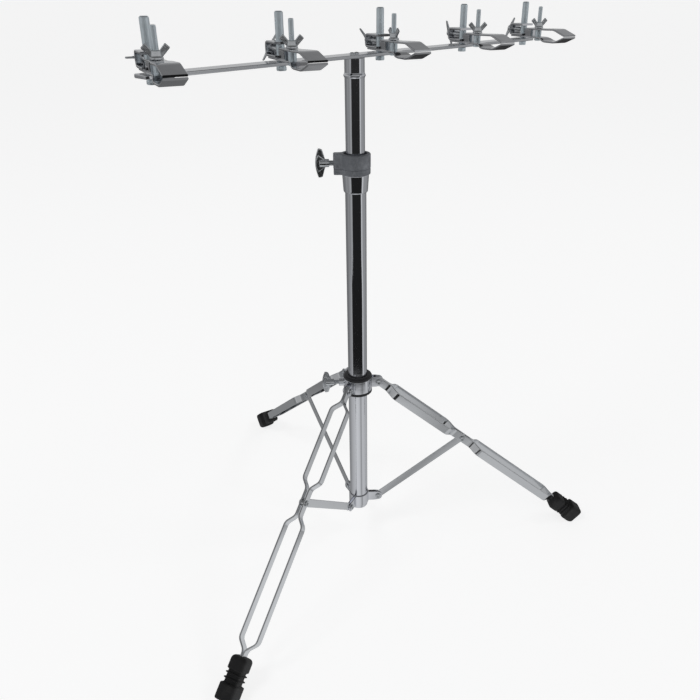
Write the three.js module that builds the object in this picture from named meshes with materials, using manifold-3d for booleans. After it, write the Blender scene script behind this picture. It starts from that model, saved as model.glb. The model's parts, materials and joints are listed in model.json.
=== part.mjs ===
// Percussion stand: a folding double-braced tripod, a mast that slides and turns in it, and a flat bar
// that carries five posts, each with a wing-nut jaw clamp.  Millimetres, +Z up, bar along X.
import * as THREE from 'three';
import { mergeVertices } from 'three/addons/utils/BufferGeometryUtils.js';
import Module from 'manifold-3d';

const wasm = await Module();
wasm.setup();

// ---------------------------------------------------------------------------------------------
// Driving dimensions
// ---------------------------------------------------------------------------------------------

const gap = 0.3; // between faces that touch on the real object
const runningGap = 0.25; // radial, between a tube and what slides or turns on it

// Column and mast
const lowerTube = { radius: 14.3, wall: 1.2, bottom: 50, top: 616 };
const upperTube = { radius: lowerTube.radius - lowerTube.wall - 0.4, wall: 1.2, insertion: 380 };
const bead = { rise: 1.3, halfWidth: 3, belowBar: 20.5 };
const sleeve = { topRadius: lowerTube.radius + 3.6, bottomRadius: lowerTube.radius + 2.2, height: 24, edge: 3 };
const clampRing = {
  radius: lowerTube.radius + 5.9,
  recessRadius: lowerTube.radius + 1.5,
  bottom: lowerTube.top - 7.4,
  height: 27,
};
const clampLug = { reach: clampRing.radius + 9.1, halfWidth: 8, inset: 1 };
const bushing = { height: 14.5 };

// Bar on the mast
const bar = { top: 756, thickness: 4, width: 25, overhang: 13.5, cornerRadius: 4 };
const post = { radius: 4.75, height: 51, chamfer: 1.2 };
const postPlaces = [-279, -116, 46, 217, 373]; // along the bar, from the column
const postBolt = { radius: 3, headAcrossFlats: 10, headHeight: 5 };
const barScrew = { radius: 2, headRadius: 3.2, headHeight: 1.9, spacing: 7.6, length: 14 };
const plug = { height: 16 };

// Tripod linkage: three legs hang on the hub and three braces stand on the collar
const legCount = 3;
const firstLegAzimuth = -162.5;
const pivotRadius = lowerTube.radius + 17.7;
const collarPivotHeight = 66;
const hubPivotHeight = 289;
const kneeRadius = 168;
const foldedBraceAngle = 87.5; // degrees above level when the tripod is folded

// Hub and collar
const hub = {
  radius: lowerTube.radius + 7.3,
  wall: 2,
  height: 21,
  drop: 1.5, // how far its middle sits below the pivots
  bushingFlange: 4.2,
  earThickness: 1.8,
};
const hubBoss = { radius: 6, reach: hub.radius + 7.4 };
const collar = { radius: lowerTube.radius + 1.9, height: 19, earThickness: 1.6 };
const earEndRadius = 6.5;

// Legs, braces, rivets and feet
const strip = { width: 13, thickness: 2.5, spread: 13.5, bendNearPivot: 21, bendLength: 12 };
const soleThickness = 8; // rubber between the floor and the strips' ends
const brace = { width: 12, thickness: 2.5 };
const rivet = { radius: 2.4, headRadius: 4.6, headHeight: 1.9 };
const foot = { length: 56, width: 26, neckDepth: 25, blockDepth: 30, groove: 2.4, edge: 2 };
const footSunk = 4.5; // how much of the block's lower corner the floor cuts off, which leaves the sole
const footStation = { shoulder: 5, neckEnd: 17.5, block: 35 };
const footRib = { places: [22.5, 29], halfTip: 0.7, halfRoot: 1.5 };

// Wing screws that lock the hub and the mast
const lockScrew = { radius: 3.6, hubRadius: 5.3, hubLength: 5, wingDepth: 11.5, wingThickness: 4.5 };
const heightScrew = { stickOut: 19.5, span: 38 };
const hubScrew = { stickOut: 19.5, span: 36 };

// Jaw clamp on each post, in its own frame: post on Z, jaws along +X, bar top at Z = 0
const clampSwivel = 19; // degrees the jaws stand off square to the bar
const bracket = { back: 23.5, front: 9, bottom: 3.8, top: 20.6, width: 20, thickness: 2.8 };
const jawPlate = { thickness: 2.2, neckWidth: 16, tipWidth: 22, flareStart: 46, flareEnd: 60 };
const jawReach = 106;
const jawRise = { lowerBottom: 1.5, belly: 4.4, lowerTip: 3.1, upperBottom: 13, ridge: 1.2, upperTip: -5.9 };
const jawStation = { lowerBack: -20, flatEnd: 50, bellyStart: 62, bellyEnd: 86, upperBack: 15, ridge: 82 };
const jawBolt = { distance: 36, radius: 3, top: 45, headRadius: 5.2, headHeight: 3.6, sleeveRadius: 4.6 };
const spacerBlock = { back: 10, front: 26, width: 13 };
const jawOpening = 10; // how far the upper jaw lifts
const threadPitch = 1; // millimetres of jaw travel for each turn of the wing nut
const wingNut = { baseRadius: 6.4, baseHeight: 2.4, hubRadius: 4.9, hubHeight: 8, span: 28, height: 15 };
const wingBlade = { thickness: 2.4, width: 7 };
const nutAngles = [75, 60, 0, 70, 80];
const postScrew = { height: 12.2, radius: 3, hubRadius: 4.6, hubLength: 4, stickOut: 8, span: 34 };
const postScrewWing = { depth: 6, thickness: 2.6 };
const postScrewAngles = [0, 57, 130, 108, 62];

const roundSides = { tube: 28, small: 12, ring: 28, rivet: 10 };

// ---------------------------------------------------------------------------------------------
// Derived places
// ---------------------------------------------------------------------------------------------

const barBottom = bar.top - bar.thickness;
const upperTubeTop = barBottom - gap;
const kneeHeight = (hubPivotHeight + collarPivotHeight) / 2;
const legSlope = Math.atan2(hubPivotHeight - kneeHeight, kneeRadius - pivotRadius);
const kneeDistance = Math.hypot(kneeRadius - pivotRadius, hubPivotHeight - kneeHeight);
const footEnd = (hubPivotHeight - (foot.blockDepth / 2) * Math.cos(legSlope) + footSunk) / Math.sin(legSlope);
const footTop = footEnd - foot.length;
const soleRadius = pivotRadius + footEnd * Math.cos(legSlope) - (foot.blockDepth / 2) * Math.sin(legSlope)
  + (footSunk / 2) * (Math.tan(legSlope) - 1 / Math.tan(legSlope)); // the middle of the sole
const stripEnd = (hubPivotHeight - soleThickness - (strip.width / 2) * Math.cos(legSlope)) / Math.sin(legSlope);
const hubBottom = hubPivotHeight - hub.height / 2 - hub.drop;
const collarBottom = collarPivotHeight - collar.height / 2;
const screwAzimuth = firstLegAzimuth - 180 / legCount; // between two legs
const heightScrewHeight = clampRing.bottom + clampRing.height / 2 + 1;
const hubBushingRadius = hub.radius - hub.wall - gap;

// ---------------------------------------------------------------------------------------------
// Solids
// ---------------------------------------------------------------------------------------------

// Turns a closed three.js geometry into a manifold solid with its faces pointing out.
function solid(geometry) {
  const bare = new THREE.BufferGeometry();
  bare.setAttribute('position', geometry.getAttribute('position'));
  if (geometry.index) bare.setIndex(geometry.index);
  const merged = mergeVertices(bare, 1e-4);
  const position = merged.getAttribute('position');
  const faces = [];
  for (let i = 0; i < merged.index.count; i += 3) {
    const face = [0, 1, 2].map((corner) => merged.index.getX(i + corner));
    if (new Set(face).size === 3) faces.push(face);
  }
  const corner = (index) => new THREE.Vector3().fromBufferAttribute(position, index);
  const signedVolume = faces.reduce((sum, [a, b, c]) => sum + corner(a).dot(corner(b).cross(corner(c))), 0);
  if (signedVolume < 0) faces.forEach((face) => face.reverse());
  return new wasm.Manifold(new wasm.Mesh({
    numProp: 3,
    vertProperties: new Float32Array(position.array),
    triVerts: new Uint32Array(faces.flat()),
  }));
}

// Turns a manifold solid back into a three.js geometry.
function toGeometry(manifold) {
  const mesh = manifold.getMesh();
  const geometry = new THREE.BufferGeometry();
  geometry.setAttribute('position', new THREE.BufferAttribute(new Float32Array(mesh.vertProperties), 3));
  geometry.setIndex(new THREE.BufferAttribute(new Uint32Array(mesh.triVerts), 1));
  geometry.computeVertexNormals();
  return geometry;
}

// A solid turned about Z from [radius, height] points.
function turned(points, sides) {
  const profile = points.map(([radius, height]) => new THREE.Vector2(radius, height));
  const geometry = new THREE.LatheGeometry(profile, sides);
  geometry.rotateX(Math.PI / 2);
  return solid(geometry);
}

// A plain disc or pin on Z.
function disc(radius, bottom, top, sides = roundSides.small) {
  return turned([[0, bottom], [radius, bottom], [radius, top], [0, top]], sides);
}

// A tube or washer on Z.
function ring(inner, outer, bottom, top, sides = roundSides.ring) {
  return turned([[inner, bottom], [outer, bottom], [outer, top], [inner, top], [inner, bottom]], sides);
}

// A box between two corners.
function block(low, high) {
  const size = high.map((value, axis) => value - low[axis]);
  const geometry = new THREE.BoxGeometry(...size);
  geometry.translate(...low.map((value, axis) => value + size[axis] / 2));
  return solid(geometry);
}

// An outline in X and Y, extruded along Z between two heights.
function extruded(outline, bottom, top) {
  const shape = outline instanceof THREE.Shape
    ? outline
    : new THREE.Shape(outline.map(([x, y]) => new THREE.Vector2(x, y)));
  const geometry = new THREE.ExtrudeGeometry(shape, {
    depth: top - bottom,
    bevelEnabled: false,
    curveSegments: 3,
  });
  geometry.translate(0, 0, bottom);
  return solid(geometry);
}

// An outline in X and Z, extruded along Y about the plane Y = 0.
function sideExtruded(outline, width) {
  return extruded(outline, -width / 2, width / 2).rotate([90, 0, 0]);
}

// A pin along Y, centred on Y = 0.
function crossPin(radius, length, x, z, sides = roundSides.rivet) {
  return disc(radius, -length / 2, length / 2, sides).rotate([90, 0, 0]).translate([x, 0, z]);
}

// A pin along X between two distances from the axis.
function radialPin(radius, from, to, z, sides = roundSides.small) {
  return disc(radius, from, to, sides).rotate([0, 90, 0]).translate([0, 0, z]);
}

// A rounded rectangle about the origin, with corners of one radius.
function roundedRectangle(lowX, highX, halfY, radius) {
  const shape = new THREE.Shape();
  shape.moveTo(lowX + radius, -halfY);
  shape.lineTo(highX - radius, -halfY);
  shape.absarc(highX - radius, -halfY + radius, radius, -Math.PI / 2, 0, false);
  shape.lineTo(highX, halfY - radius);
  shape.absarc(highX - radius, halfY - radius, radius, 0, Math.PI / 2, false);
  shape.lineTo(lowX + radius, halfY);
  shape.absarc(lowX + radius, halfY - radius, radius, Math.PI / 2, Math.PI, false);
  shape.lineTo(lowX, -halfY + radius);
  shape.absarc(lowX + radius, -halfY + radius, radius, Math.PI, Math.PI * 1.5, false);
  return shape;
}

// The outline of a bent strip: a centre line of [x, y] points, given a thickness.
function stripOutline(path, thickness) {
  const points = path.map(([x, y]) => new THREE.Vector2(x, y));
  const side = (sign) => points.map((point, i) => {
    const before = point.clone().sub(points[Math.max(i - 1, 0)]).normalize();
    const after = points[Math.min(i + 1, points.length - 1)].clone().sub(point).normalize();
    const along = before.add(after).normalize();
    const previous = points[Math.max(i - 1, 0)];
    const leg = (i > 0 ? point.clone().sub(previous) : points[1].clone().sub(point)).normalize();
    const stretch = 1 / Math.max(along.dot(leg), 0.5);
    const offset = new THREE.Vector2(-along.y, along.x).multiplyScalar((sign * thickness * stretch) / 2);
    return point.clone().add(offset);
  });
  return new THREE.Shape([...side(1), ...side(-1).reverse()]);
}

// Cuts the corners of a path, so that each bend is made of two softer ones.
function softened(path, cut) {
  const points = path.map(([x, y]) => new THREE.Vector2(x, y));
  return points.flatMap((point, i) => {
    if (i === 0 || i === points.length - 1) return [[point.x, point.y]];
    const back = points[i - 1].clone().sub(point).setLength(cut).add(point);
    const on = points[i + 1].clone().sub(point).setLength(cut).add(point);
    return [[back.x, back.y], [on.x, on.y]];
  });
}

// ---------------------------------------------------------------------------------------------
// Column and mast
// ---------------------------------------------------------------------------------------------

function makeLowerTube() {
  const inner = lowerTube.radius - lowerTube.wall;
  return ring(inner, lowerTube.radius, lowerTube.bottom, lowerTube.top, roundSides.tube);
}

function makeClampSleeve() {
  const inner = lowerTube.radius + gap;
  const top = clampRing.bottom - gap;
  const bottom = top - sleeve.height;
  return turned([
    [inner, bottom],
    [sleeve.bottomRadius - sleeve.edge / 2, bottom],
    [sleeve.bottomRadius - sleeve.edge / 8, bottom + sleeve.edge / 2],
    [sleeve.bottomRadius, bottom + sleeve.edge],
    [sleeve.topRadius, top],
    [inner, top],
    [inner, bottom],
  ], roundSides.ring);
}

function makeHeightClamp() {
  const { radius, bottom, height, recessRadius } = clampRing;
  const top = bottom + height;
  const lug = extruded(
    roundedRectangle(0, clampLug.reach, clampLug.halfWidth, clampLug.halfWidth * 0.6),
    bottom + clampLug.inset,
    top - clampLug.inset,
  );
  return turned([[0, bottom], [radius, bottom], [radius, top], [0, top]], roundSides.ring)
    .add(lug)
    .subtract(disc(lowerTube.radius + gap, bottom - 1, top, roundSides.tube))
    .subtract(disc(recessRadius, lowerTube.top + gap, top + 1, roundSides.tube))
    .subtract(radialPin(lockScrew.radius + gap, 0, clampLug.reach + 1, heightScrewHeight));
}

function makeMastBushing() {
  const bottom = lowerTube.top + 2 * gap;
  const inner = upperTube.radius + runningGap;
  return ring(inner, clampRing.recessRadius - gap, bottom, bottom + bushing.height, roundSides.tube);
}

function makeUpperTube() {
  const { radius, wall, insertion } = upperTube;
  const beadHeight = barBottom - bead.belowBar;
  const bottom = lowerTube.top - insertion;
  return turned([
    [radius - wall, bottom],
    [radius, bottom],
    [radius, beadHeight - bead.halfWidth],
    [radius + bead.rise * 0.8, beadHeight - bead.halfWidth * 0.5],
    [radius + bead.rise, beadHeight],
    [radius + bead.rise * 0.8, beadHeight + bead.halfWidth * 0.5],
    [radius, beadHeight + bead.halfWidth],
    [radius, upperTubeTop],
    [radius - wall, upperTubeTop],
    [radius - wall, bottom],
  ], roundSides.tube);
}

function barScrewPlaces() {
  return [-barScrew.spacing / 2, barScrew.spacing / 2];
}

function makeMastPlug() {
  const radius = upperTube.radius - upperTube.wall - gap;
  const body = disc(radius, upperTubeTop - plug.height, upperTubeTop, roundSides.ring);
  return barScrewPlaces().reduce(
    (rest, x) => rest.subtract(
      disc(barScrew.radius + gap, upperTubeTop - plug.height - 1, upperTubeTop + 1).translate([x, 0, 0]),
    ),
    body,
  );
}

function makeBarScrew() {
  const seat = bar.top + gap;
  return turned([
    [0, bar.top - barScrew.length],
    [barScrew.radius, bar.top - barScrew.length],
    [barScrew.radius, seat],
    [barScrew.headRadius, seat],
    [barScrew.headRadius, seat + barScrew.headHeight * 0.5],
    [barScrew.headRadius * 0.7, seat + barScrew.headHeight],
    [0, seat + barScrew.headHeight],
  ], roundSides.small);
}

function makeTopBar() {
  const low = postPlaces[0] - bar.overhang;
  const high = postPlaces[postPlaces.length - 1] + bar.overhang;
  const outline = roundedRectangle(low, high, bar.width / 2, bar.cornerRadius);
  const plate = extruded(outline, barBottom, bar.top);
  const hole = (x, radius) => disc(radius, barBottom - 1, bar.top + 1).translate([x, 0, 0]);
  const holes = [
    ...postPlaces.map((x) => hole(x, postBolt.radius + gap)),
    ...barScrewPlaces().map((x) => hole(x, barScrew.radius + gap)),
  ];
  return holes.reduce((rest, one) => rest.subtract(one), plate);
}

// ---------------------------------------------------------------------------------------------
// Hub, collar, legs and braces.  Each is made for a leg that points along +X.
// ---------------------------------------------------------------------------------------------

// Two ear plates that hold a rivet at the pivot radius, from a ring's wall outwards.
function earPair(fromRadius, pivotHeight, halfHeight, innerFace, thickness) {
  const outline = new THREE.Shape();
  outline.moveTo(fromRadius, -halfHeight);
  outline.lineTo(pivotRadius - earEndRadius * 0.5, -halfHeight);
  outline.lineTo(pivotRadius + earEndRadius * 0.75, -earEndRadius * 0.8);
  outline.absarc(pivotRadius, 0, earEndRadius * 1.1, -Math.PI / 4, Math.PI / 4, false);
  outline.lineTo(pivotRadius - earEndRadius * 0.5, halfHeight);
  outline.lineTo(fromRadius, halfHeight);
  const plate = sideExtruded(outline, thickness).translate([0, 0, pivotHeight]);
  const middle = innerFace + thickness / 2;
  const hole = crossPin(rivet.radius + gap, 2 * (innerFace + thickness) + 1, pivotRadius, pivotHeight);
  return plate.translate([0, middle, 0]).add(plate.translate([0, -middle, 0])).subtract(hole);
}

// Adds one pair of ears for each leg to a band.
function withEars(band, ears) {
  let result = band;
  for (let i = 0; i < legCount; i += 1) {
    result = result.add(ears.rotate([0, 0, firstLegAzimuth + (i * 360) / legCount]));
  }
  return result;
}

const topEarFace = strip.thickness + gap / 2 + gap; // inside face of a hub ear, from the leg's middle plane
const braceEarFace = brace.thickness / 2 + gap; // inside face of a collar ear, and of a strip at the knee

function makeHubBand() {
  const { radius, wall, height, earThickness } = hub;
  const top = hubBottom + height;
  const band = disc(radius, hubBottom, top, roundSides.ring);
  const ears = earPair(radius - wall / 2, hubPivotHeight, height / 2 - hub.drop - 0.5, topEarFace, earThickness);
  const boss = radialPin(hubBoss.radius, radius - wall, hubBoss.reach, hubPivotHeight);
  const screwHole = radialPin(lockScrew.radius + gap, 0, hubBoss.reach + 1, hubPivotHeight);
  return withEars(band, ears)
    .add(boss.rotate([0, 0, screwAzimuth]))
    .subtract(disc(radius - wall, hubBottom - 1, top + 1, roundSides.ring))
    .subtract(screwHole.rotate([0, 0, screwAzimuth]));
}

function makeHubBushing() {
  const inner = lowerTube.radius + runningGap;
  const flange = hub.radius + gap;
  const low = hubBottom - gap;
  const high = hubBottom + hub.height + gap;
  return turned([
    [inner, low - hub.bushingFlange],
    [flange, low - hub.bushingFlange],
    [flange, low],
    [hubBushingRadius, low],
    [hubBushingRadius, high],
    [flange, high],
    [flange, high + hub.bushingFlange * 0.4],
    [flange - 3, high + hub.bushingFlange],
    [inner, high + hub.bushingFlange],
    [inner, low - hub.bushingFlange],
  ], roundSides.tube);
}

function makeBraceCollar() {
  const { radius, height, earThickness } = collar;
  const top = collarBottom + height;
  const inner = lowerTube.radius + gap;
  const ears = earPair((radius + inner) / 2, collarPivotHeight, height / 2 - 1, braceEarFace, earThickness);
  return withEars(disc(radius, collarBottom, top, roundSides.ring), ears)
    .subtract(disc(inner, collarBottom - 1, top + 1, roundSides.tube));
}

// Puts a solid made along +X, from the hub pivot, onto the slope of the leg.
function onLeg(shape) {
  return shape.rotate([0, THREE.MathUtils.radToDeg(legSlope), 0]).translate([pivotRadius, 0, hubPivotHeight]);
}

function makeLegStrip(side) {
  const { width, thickness, spread, bendNearPivot, bendLength } = strip;
  const together = gap / 2 + thickness / 2;
  const atKnee = braceEarFace + thickness / 2;
  const bendEnd = bendNearPivot + bendLength;
  const end = stripEnd - gap;
  const lastBend = footTop - 8;
  const path = softened([
    [-width / 2, together],
    [bendNearPivot, together],
    [bendEnd, spread],
    [kneeDistance - bendEnd, spread],
    [kneeDistance - bendNearPivot, atKnee],
    [kneeDistance + bendNearPivot, atKnee],
    [kneeDistance + bendEnd, spread],
    [lastBend - bendLength, spread],
    [lastBend, together],
    [end, together],
  ], 3);
  const bent = extruded(stripOutline(path, thickness), -width / 2, width / 2);
  const outline = roundedRectangle(-width / 2, end, width / 2 - 0.01, width * 0.45);
  const trim = sideExtruded(outline, 4 * spread);
  const length = 4 * spread;
  const holes = crossPin(rivet.radius + gap, length, 0, 0).add(crossPin(rivet.radius + gap, length, kneeDistance, 0));
  const made = bent.intersect(trim).subtract(holes);
  return onLeg(side > 0 ? made : made.mirror([0, 1, 0]));
}

function makeFoot() {
  const { length, width, neckDepth, blockDepth, groove, edge } = foot;
  const { shoulder, neckEnd, block: blockStart } = footStation;
  const neck = neckDepth / 2;
  const deep = blockDepth / 2;
  const core = neck - groove;
  const rib = (at) => [
    [at - footRib.halfRoot, core],
    [at - footRib.halfTip, neck],
    [at + footRib.halfTip, neck],
    [at + footRib.halfRoot, core],
  ];
  const upperEdge = [
    [0, neck - shoulder],
    [shoulder, neck],
    [neckEnd, neck],
    [neckEnd + 1, core],
    ...footRib.places.flatMap(rib),
    [blockStart - 1, core],
    [blockStart, deep - edge],
    [blockStart + edge, deep],
    [length - edge, deep],
    [length, deep - edge],
  ];
  const lowerEdge = upperEdge.map(([along, across]) => [along, -across]).reverse();
  const outline = [...upperEdge, ...lowerEdge].map(([along, across]) => [footTop + along, across]);
  const slotHalf = strip.thickness + 1.5 * gap;
  const slot = block(
    [footTop - 1, -slotHalf, -strip.width / 2 - gap],
    [stripEnd, slotHalf, strip.width / 2 + gap],
  );
  const boot = onLeg(sideExtruded(outline, width).subtract(slot));
  const aboveFloor = block([0, -width, 0], [2 * soleRadius, width, hubPivotHeight]);
  return boot.intersect(aboveFloor);
}

function makeBrace() {
  const { width, thickness } = brace;
  const outline = roundedRectangle(-width / 2, kneeDistance + width / 2, width / 2, width * 0.45);
  const holes = crossPin(rivet.radius + gap, 10, 0, 0).add(crossPin(rivet.radius + gap, 10, kneeDistance, 0));
  return sideExtruded(outline, thickness)
    .subtract(holes)
    .rotate([0, -THREE.MathUtils.radToDeg(legSlope), 0])
    .translate([pivotRadius, 0, collarPivotHeight]);
}

// A rivet along Y whose heads sit a clearance outside the faces it holds.
function makeRivet(outerFace, x, z) {
  const seat = outerFace + gap;
  const { radius, headRadius, headHeight } = rivet;
  return turned([
    [0, -seat - headHeight],
    [headRadius * 0.8, -seat - headHeight],
    [headRadius, -seat],
    [radius, -seat],
    [radius, seat],
    [headRadius, seat],
    [headRadius * 0.8, seat + headHeight],
    [0, seat + headHeight],
  ], roundSides.rivet).rotate([90, 0, 0]).translate([x, 0, z]);
}

// ---------------------------------------------------------------------------------------------
// Wing screws, along +X with the tip at X = 0
// ---------------------------------------------------------------------------------------------

function makeWingScrew({ radius, hubRadius, hubLength, span, depth, thickness, length }) {
  const half = span / 2;
  const wings = new THREE.Shape();
  wings.moveTo(length, -hubRadius);
  wings.lineTo(length + depth * 0.35, -half);
  wings.lineTo(length + depth * 0.8, -half);
  wings.quadraticCurveTo(length + depth * 1.5, 0, length + depth * 0.8, half);
  wings.lineTo(length + depth * 0.35, half);
  wings.lineTo(length, hubRadius);
  const hubPart = radialPin(hubRadius, length - hubLength, length + depth * 0.7, 0);
  return radialPin(radius, 0, length, 0).add(hubPart).add(sideExtruded(wings, thickness));
}

function makeLockScrew(tipRadius, seatRadius, { stickOut, span }, height) {
  const screw = makeWingScrew({
    radius: lockScrew.radius,
    hubRadius: lockScrew.hubRadius,
    hubLength: lockScrew.hubLength,
    span,
    depth: lockScrew.wingDepth,
    thickness: lockScrew.wingThickness,
    length: seatRadius + stickOut - tipRadius,
  });
  return screw.translate([tipRadius, 0, height]).rotate([0, 0, screwAzimuth]);
}

// ---------------------------------------------------------------------------------------------
// Post and jaw clamp, in the clamp's own frame
// ---------------------------------------------------------------------------------------------

function makePost() {
  const { radius, height, chamfer } = post;
  const head = -bar.thickness - gap;
  const shape = turned([
    [0, head - postBolt.headHeight / 2],
    [postBolt.radius, head - postBolt.headHeight / 2],
    [postBolt.radius, gap],
    [radius, gap],
    [radius, height - chamfer],
    [radius - chamfer, height],
    [0, height],
  ], roundSides.small);
  const hexRadius = postBolt.headAcrossFlats / Math.sqrt(3);
  return shape.add(disc(hexRadius, head - postBolt.headHeight, head, 6));
}

// The plan outline of a jaw: a narrow neck that flares to the tip.
function jawOutline(back) {
  const { neckWidth, tipWidth, flareStart, flareEnd } = jawPlate;
  return [
    [back, -neckWidth / 2],
    [flareStart, -neckWidth / 2],
    [flareEnd, -tipWidth / 2],
    [jawReach, -tipWidth / 2],
    [jawReach, tipWidth / 2],
    [flareEnd, tipWidth / 2],
    [flareStart, neckWidth / 2],
    [back, neckWidth / 2],
  ];
}

// A jaw plate: a bent side profile cut to the plan outline.
function jawFrom(path, back) {
  const profile = stripOutline(path, jawPlate.thickness);
  return sideExtruded(profile, 2 * jawPlate.tipWidth).intersect(extruded(jawOutline(back), -50, 100));
}

function makeClampFrame() {
  const { back, front, bottom, top, width, thickness } = bracket;
  const half = jawPlate.thickness / 2;
  const flat = jawRise.lowerBottom + half;
  const lowerJaw = jawFrom([
    [jawStation.lowerBack, flat],
    [jawStation.flatEnd, flat],
    [jawStation.bellyStart, flat - jawRise.belly],
    [jawStation.bellyEnd, flat - jawRise.belly],
    [jawReach, flat + jawRise.lowerTip],
  ], jawStation.lowerBack);
  const hollow = block(
    [-back + thickness, -width, bottom + thickness],
    [front + 1, width, top - thickness],
  );
  const channel = block([-back, -width / 2, bottom - 0.2], [front, width / 2, top]).subtract(hollow);
  const spacer = block(
    [spacerBlock.back, -spacerBlock.width / 2, flat],
    [spacerBlock.front, spacerBlock.width / 2, jawRise.upperBottom - gap],
  );
  const bolt = turned([
    [0, jawRise.lowerBottom - jawBolt.headHeight],
    [jawBolt.headRadius * 0.8, jawRise.lowerBottom - jawBolt.headHeight],
    [jawBolt.headRadius, jawRise.lowerBottom - jawBolt.headHeight * 0.5],
    [jawBolt.headRadius, flat],
    [jawBolt.sleeveRadius, flat],
    [jawBolt.sleeveRadius, jawRise.upperBottom - gap],
    [jawBolt.radius, jawRise.upperBottom - gap],
    [jawBolt.radius, jawBolt.top],
    [0, jawBolt.top],
  ], roundSides.small).translate([jawBolt.distance, 0, 0]);
  const screwHole = radialPin(postScrew.radius + gap, -back - 1, 0, postScrew.height);
  return lowerJaw
    .add(channel)
    .add(spacer)
    .add(bolt)
    .subtract(disc(post.radius + runningGap, -50, 100))
    .subtract(screwHole);
}

function makeUpperJaw() {
  const half = jawPlate.thickness / 2;
  const flat = jawRise.upperBottom + half;
  return jawFrom([
    [jawStation.upperBack, flat],
    [jawPlate.flareStart - 2, flat],
    [jawStation.ridge, flat + jawRise.ridge],
    [jawReach, flat + jawRise.upperTip],
  ], jawStation.upperBack)
    .subtract(disc(jawBolt.radius + gap, -50, 100).translate([jawBolt.distance, 0, 0]));
}

// The wing nut sits on the upper jaw, with its wings in the XZ plane.
function makeWingNut() {
  const { baseRadius, baseHeight, hubRadius, hubHeight, span, height } = wingNut;
  const body = turned([
    [0, 0],
    [baseRadius, 0],
    [baseRadius, baseHeight],
    [hubRadius, baseHeight + 0.6],
    [hubRadius * 0.9, hubHeight],
    [0, hubHeight],
  ], roundSides.small);
  const half = span / 2;
  const blade = sideExtruded([
    [hubRadius * 0.4, baseHeight],
    [hubRadius * 0.4 + wingBlade.width * 0.7, baseHeight + 0.4],
    [half, height - wingBlade.width * 0.6],
    [half - wingBlade.width * 0.75, height],
    [hubRadius * 0.4, hubHeight - 1],
  ], wingBlade.thickness);
  return body
    .add(blade)
    .add(blade.rotate([0, 0, 180]))
    .subtract(disc(jawBolt.radius + gap, -1, hubHeight + 1));
}

function makePostScrew() {
  const tip = -post.radius - runningGap - gap;
  return makeWingScrew({
    radius: postScrew.radius,
    hubRadius: postScrew.hubRadius,
    hubLength: postScrew.hubLength,
    span: postScrew.span,
    depth: postScrewWing.depth,
    thickness: postScrewWing.thickness,
    length: bracket.back + postScrew.stickOut + tip,
  }).rotate([0, 0, 180]).translate([tip, 0, 0]);
}

// ---------------------------------------------------------------------------------------------
// Materials and assembly
// ---------------------------------------------------------------------------------------------

function finish(color, roughness, metalness) {
  return () => new THREE.MeshStandardMaterial({ color, roughness, metalness, flatShading: true });
}

const chrome = finish(0xc9ccd1, 0.12, 1);
const zinc = finish(0xb9c3c9, 0.32, 1);
const castMetal = finish(0x53565b, 0.6, 0.8);
const blackPlastic = finish(0x17171a, 0.5, 0);
const rubber = finish(0x0d0d0e, 0.85, 0);

const stand = new THREE.Group();

function place(parent, name, made, material) {
  const mesh = new THREE.Mesh(made.isBufferGeometry ? made : toGeometry(made), material());
  mesh.name = name;
  parent.add(mesh);
  return mesh;
}

function addColumn() {
  place(stand, 'lower_tube', makeLowerTube(), chrome);
  place(stand, 'clamp_sleeve', makeClampSleeve(), chrome);
  place(stand, 'height_clamp', makeHeightClamp().rotate([0, 0, screwAzimuth]), castMetal);
  place(stand, 'brace_collar', makeBraceCollar(), chrome);
  place(stand, 'mast_bushing', makeMastBushing(), blackPlastic);
  place(stand, 'upper_tube', makeUpperTube(), chrome);
  place(stand, 'mast_plug', makeMastPlug(), zinc);
  place(stand, 'top_bar', makeTopBar(), chrome);
  barScrewPlaces().forEach((x, i) => {
    place(stand, `bar_screw_${i + 1}`, makeBarScrew(), zinc).position.x = x;
  });
  place(
    stand,
    'height_wing_screw',
    makeLockScrew(clampRing.recessRadius, clampRing.radius, heightScrew, heightScrewHeight),
    zinc,
  );
}

function addTripod() {
  place(stand, 'hub_band', makeHubBand(), chrome);
  place(stand, 'hub_bushing', makeHubBushing(), blackPlastic);
  const hubTip = hubBushingRadius + gap;
  place(stand, 'hub_wing_screw', makeLockScrew(hubTip, hub.radius, hubScrew, hubPivotHeight), zinc);
  const hubEarOutside = topEarFace + hub.earThickness;
  const collarEarOutside = braceEarFace + collar.earThickness;
  const kneeOutside = braceEarFace + strip.thickness;
  const geometries = {
    strip_a: toGeometry(makeLegStrip(1)),
    strip_b: toGeometry(makeLegStrip(-1)),
    top_rivet: toGeometry(makeRivet(hubEarOutside, pivotRadius, hubPivotHeight)),
    knee_rivet: toGeometry(makeRivet(kneeOutside, kneeRadius, kneeHeight)),
    foot: toGeometry(makeFoot()),
    brace: toGeometry(makeBrace()),
    brace_rivet: toGeometry(makeRivet(collarEarOutside, pivotRadius, collarPivotHeight)),
  };
  for (let i = 0; i < legCount; i += 1) {
    const turn = new THREE.Group();
    turn.rotation.z = THREE.MathUtils.degToRad(firstLegAzimuth + (i * 360) / legCount);
    stand.add(turn);
    Object.entries(geometries).forEach(([part, geometry]) => {
      place(turn, `leg_${i + 1}_${part}`, geometry, part === 'foot' ? rubber : chrome);
    });
  }
}

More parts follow.
